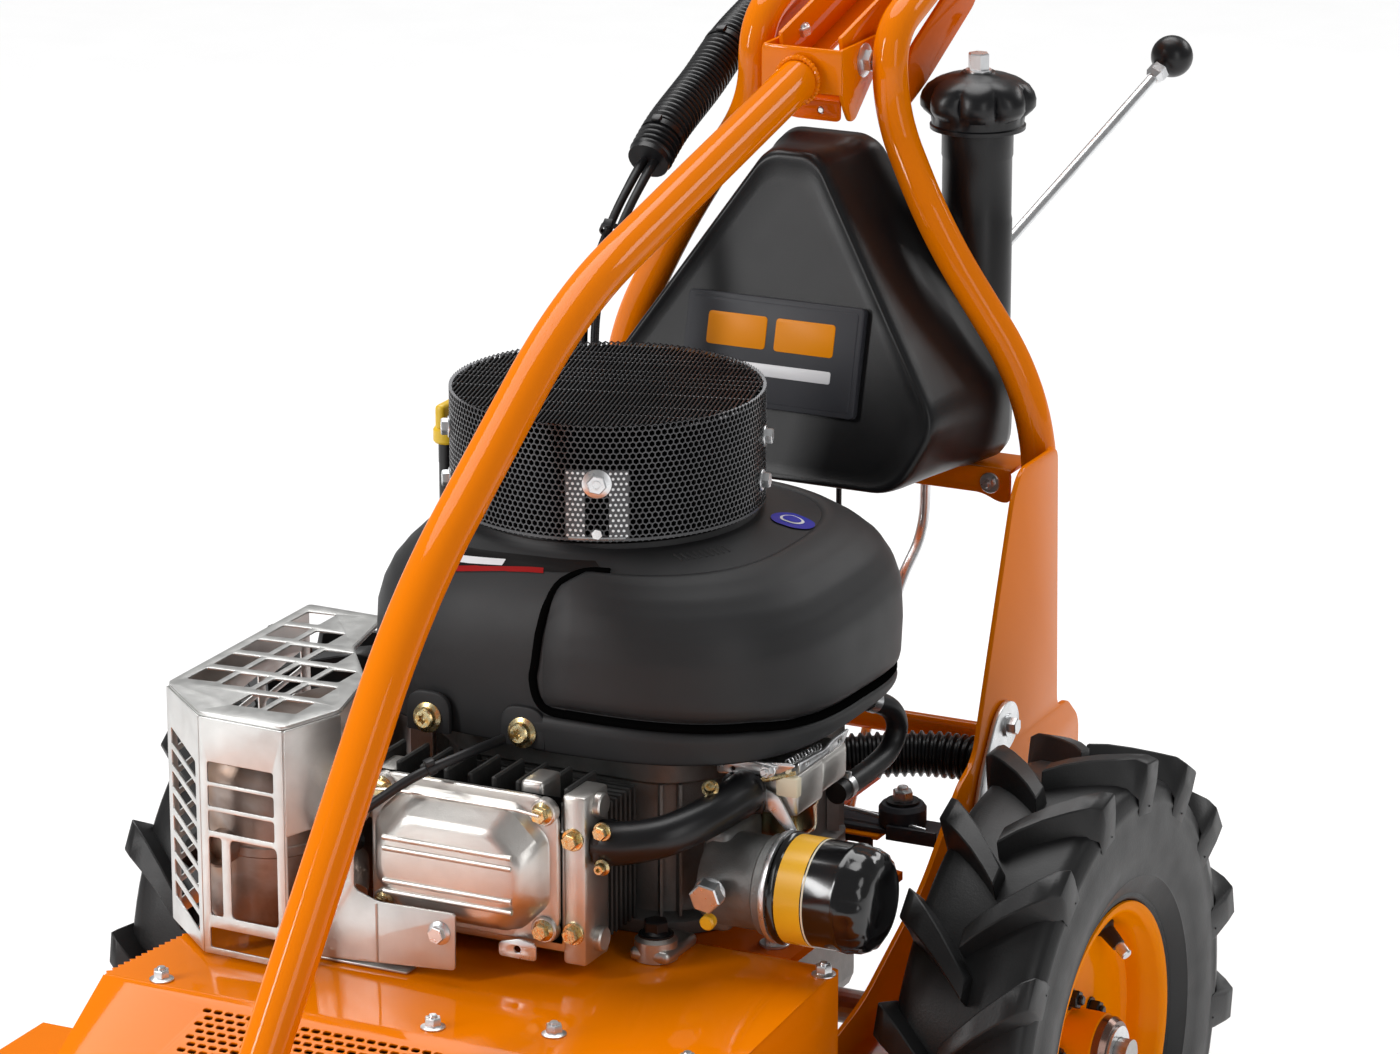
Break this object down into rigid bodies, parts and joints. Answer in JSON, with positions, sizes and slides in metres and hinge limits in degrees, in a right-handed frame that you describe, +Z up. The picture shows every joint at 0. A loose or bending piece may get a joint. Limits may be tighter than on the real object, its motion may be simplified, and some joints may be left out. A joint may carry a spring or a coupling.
{
  "type": "brush mower",
  "caption": "Walk-behind brush mower with lugged drive wheels, front castor, belt-driven cutter deck, vertical-shaft engine, wedge tank and adjustable handlebar",
  "frame": {"origin": "middle of the footprint on the ground under the wheels", "axes": "+Z up, -Y towards the front castor, +Y towards the operator, +X the machine's left side, lengthwise axis along Y"},
  "size_m": [0.76, 2.0539, 1.0575],
  "materials": {
    "orange_paint": "glossy orange powder coat",
    "cast_aluminium": "die-cast, lightly blasted",
    "housing_plastic": "matte charcoal, fine grain",
    "black_mesh": "black coated honeycomb mesh",
    "cast_iron": "painted grey casting",
    "belt_rubber": "black rubber",
    "black_paint": "gloss black paint",
    "black_plastic": "satin black moulded plastic",
    "exhaust_steel": "heat-tinted steel",
    "zinc_sheet": "bright zinc plate",
    "steel": "machined steel",
    "gloss_black": "polished black ball",
    "yellow_plastic": "yellow handle",
    "tyre_rubber": "lugged tyre rubber"
  },
  "bodies": {
    "chassis": {"mower_deck": "orange_paint", "belt_cover": "orange_paint", "engine_plate": "orange_paint", "side_plate_left": "orange_paint", "side_plate_right": "orange_paint", "rear_tube_left": "orange_paint", "rear_tube_right": "orange_paint", "lower_cross_tube": "orange_paint", "tank_crossbar": "orange_paint", "front_strut": "orange_paint", "head_bracket": "orange_paint", "castor_head": "orange_paint", "crankcase": "cast_aluminium", "cylinder_block": "cast_aluminium", "cylinder_head": "cast_aluminium", "valve_cover": "cast_aluminium", "blower_housing": "housing_plastic", "intake_screen": "black_mesh", "spindle_housing": "cast_iron", "blade_belt": "belt_rubber", "drive_belt": "belt_rubber", "gearbox": "cast_iron", "oil_filter": "black_paint", "carburettor": "cast_aluminium", "intake_manifold": "black_plastic", "fuel_hose": "belt_rubber", "spark_plug_lead": "belt_rubber", "dipstick_tube": "black_paint", "muffler": "exhaust_steel", "muffler_guard": "zinc_sheet", "fuel_tank": "black_plastic", "control_conduit": "black_plastic", "control_cables": "belt_rubber", "rear_conduit": "black_plastic"},
    "front_flap": {"front_flap": "orange_paint"},
    "wheel_left": {"tyre_left": "tyre_rubber", "rim_left": "orange_paint", "axle_left": "steel"},
    "wheel_right": {"tyre_right": "tyre_rubber", "rim_right": "orange_paint", "axle_right": "steel"},
    "castor_swivel": {"castor_fork": "black_paint"},
    "castor_wheel": {"castor_tyre": "tyre_rubber", "castor_rim": "black_plastic"},
    "crank": {"crankshaft": "steel", "flywheel_fan": "cast_iron"},
    "cutter": {"blade_spindle": "steel", "cutter_bar": "steel"},
    "gearbox_input": {"gearbox_pulley": "steel"},
    "dipstick": {"dipstick": "yellow_plastic"},
    "fuel_cap": {"fuel_cap": "black_plastic"},
    "handlebar": {"handlebar_column": "orange_paint", "handlebar_tube": "orange_paint", "grip_left": "belt_rubber", "grip_right": "belt_rubber"},
    "drive_lever": {"drive_lever": "black_plastic"},
    "blade_lever": {"blade_lever": "black_plastic"},
    "shift_lever": {"shift_lever": "zinc_sheet", "shift_knob": "gloss_black"},
    "lock_lever": {"lock_lever": "zinc_sheet"}
  },
  "joints": [
    {"name": "wheel_left_spin", "type": "hinge", "parent": "chassis", "child": "wheel_left", "pos_m": [0.2965, 0.163, 0.213], "axis": [1, 0, 0], "continuous": true},
    {"name": "wheel_right_spin", "type": "hinge", "parent": "chassis", "child": "wheel_right", "pos_m": [-0.2965, 0.163, 0.213], "axis": [1, 0, 0], "continuous": true},
    {"name": "castor_turn", "type": "hinge", "parent": "chassis", "child": "castor_swivel", "pos_m": [0, -0.967, 0.25], "axis": [0, 0, 1], "continuous": true},
    {"name": "castor_wheel_spin", "type": "hinge", "parent": "castor_swivel", "child": "castor_wheel", "pos_m": [0, -0.927, 0.1], "axis": [1, 0, 0], "continuous": true},
    {"name": "crank_spin", "type": "hinge", "parent": "chassis", "child": "crank", "pos_m": [0, 0.058, 0.4], "axis": [0, 0, 1], "continuous": true},
    {"name": "cutter_spin", "type": "hinge", "parent": "chassis", "child": "cutter", "pos_m": [0, -0.382, 0.15], "axis": [0, 0, 1], "continuous": true},
    {"name": "gearbox_input_spin", "type": "hinge", "parent": "chassis", "child": "gearbox_input", "pos_m": [0, 0.263, 0.27], "axis": [0, 0, 1], "continuous": true},
    {"name": "front_flap_swing", "type": "hinge", "parent": "chassis", "child": "front_flap", "pos_m": [0, -0.774, 0.19], "axis": [1, 0, 0], "range_deg": [-20, 6]},
    {"name": "handlebar_height", "type": "hinge", "parent": "chassis", "child": "handlebar", "pos_m": [0, 0.408, 0.85], "axis": [1, 0, 0], "range_deg": [-8, 10]},
    {"name": "drive_lever_pull", "type": "hinge", "parent": "handlebar", "child": "drive_lever", "pos_m": [0.3, 0.898, 0.98], "axis": [1, 0, 0], "range_deg": [0, 9], "stiffness_Nm_per_rad": 1, "springref_deg": -17.19},
    {"name": "blade_lever_pull", "type": "hinge", "parent": "handlebar", "child": "blade_lever", "pos_m": [-0.3, 0.898, 0.98], "axis": [1, 0, 0], "range_deg": [0, 9], "stiffness_Nm_per_rad": 1, "springref_deg": -17.19},
    {"name": "shift_lever_move", "type": "hinge", "parent": "chassis", "child": "shift_lever", "pos_m": [0.055, 0.323, 0.2585], "axis": [1, 0, 0], "range_deg": [-12, 2]},
    {"name": "lock_lever_turn", "type": "hinge", "parent": "chassis", "child": "lock_lever", "pos_m": [0.197, 0.298, 0.392], "axis": [1, 0, 0], "range_deg": [-20, 20]},
    {"name": "fuel_cap_lift", "type": "slide", "parent": "chassis", "child": "fuel_cap", "axis": [0, 0, 1], "range_m": [0, 0.05]},
    {"name": "dipstick_pull", "type": "slide", "parent": "chassis", "child": "dipstick", "axis": [0, 0, 1], "range_m": [0, 0.2]}
  ],
  "couplings": [
    {"joint": "cutter_spin", "follows": "crank_spin", "ratio": 0.75},
    {"joint": "gearbox_input_spin", "follows": "crank_spin", "ratio": 0.9}
  ]
}
